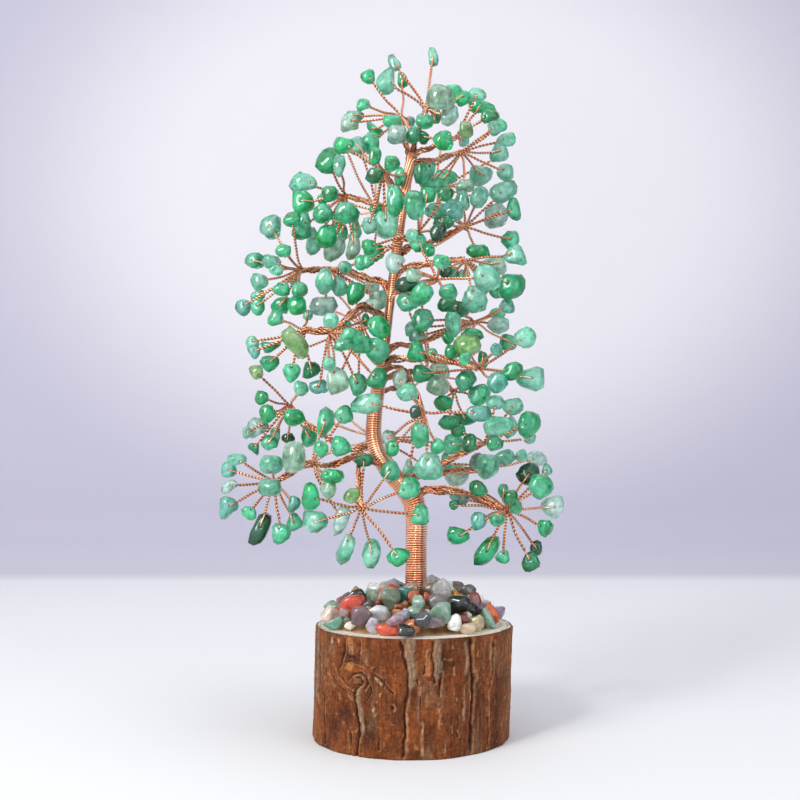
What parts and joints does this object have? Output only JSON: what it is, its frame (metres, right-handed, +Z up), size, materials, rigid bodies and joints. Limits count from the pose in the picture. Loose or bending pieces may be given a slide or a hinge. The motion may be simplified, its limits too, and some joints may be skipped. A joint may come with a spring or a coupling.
{
  "type": "gemstone tree ornament",
  "caption": "Ornamental tree of twisted copper wire carrying green stone chips, rooted in a bark-covered wood stump heaped with mixed gravel stones.",
  "frame": {"origin": "middle of the stump's flat underside", "axes": "+Z up along the trunk, the pictured front faces -Y, +X to the right seen from the front"},
  "size_m": [0.1282, 0.0978, 0.2575],
  "materials": {
    "copper_wire": "bright drawn copper wire, lightly toned",
    "aventurine": "tumbled and polished",
    "bark": "rough thin bark, unvarnished",
    "stump_wood": "sawn end grain",
    "clear_glue": "clear amber glue, glossy",
    "jasper": "tumbled and polished",
    "amethyst": "tumbled and polished",
    "quartz": "clear, tumbled and polished",
    "citrine": "tumbled and polished",
    "obsidian": "glossy",
    "agate": "tumbled and polished"
  },
  "bodies": {
    "root": {"back_lower_stones": "aventurine", "back_lower_wires": "copper_wire", "back_upper_stones": "aventurine", "back_upper_wires": "copper_wire", "bark": "bark", "crown_left_stones": "aventurine", "crown_left_wires": "copper_wire", "crown_right_stones": "aventurine", "crown_right_wires": "copper_wire", "crown_tip_stones": "aventurine", "crown_tip_wires": "copper_wire", "glue_bed": "clear_glue", "gravel_agate": "agate", "gravel_amethyst": "amethyst", "gravel_aventurine": "aventurine", "gravel_citrine": "citrine", "gravel_jasper": "jasper", "gravel_obsidian": "obsidian", "gravel_quartz": "quartz", "left_stones": "aventurine", "left_wires": "copper_wire", "low_left_stones": "aventurine", "low_left_upper_stones": "aventurine", "low_left_upper_wires": "copper_wire", "low_left_wires": "copper_wire", "low_middle_stones": "aventurine", "low_middle_wires": "copper_wire", "low_right_stones": "aventurine", "low_right_wires": "copper_wire", "middle_left_stones": "aventurine", "middle_left_wires": "copper_wire", "middle_right_low_stones": "aventurine", "middle_right_low_wires": "copper_wire", "middle_right_stones": "aventurine", "middle_right_wires": "copper_wire", "right_low_stones": "aventurine", "right_low_wires": "copper_wire", "right_stones": "aventurine", "right_upper_stones": "aventurine", "right_upper_wires": "copper_wire", "right_wires": "copper_wire", "trunk_core": "copper_wire", "trunk_wrap_bend": "copper_wire", "trunk_wrap_foot": "copper_wire", "trunk_wrap_middle": "copper_wire", "trunk_wrap_top": "copper_wire", "upper_left_inner_stones": "aventurine", "upper_left_inner_wires": "copper_wire", "upper_left_stones": "aventurine", "upper_left_wires": "copper_wire", "upper_middle_stones": "aventurine", "upper_middle_wires": "copper_wire", "upper_right_stones": "aventurine", "upper_right_top_stones": "aventurine", "upper_right_top_wires": "copper_wire", "upper_right_wires": "copper_wire", "wood_block": "stump_wood"}
  },
  "joints": []
}
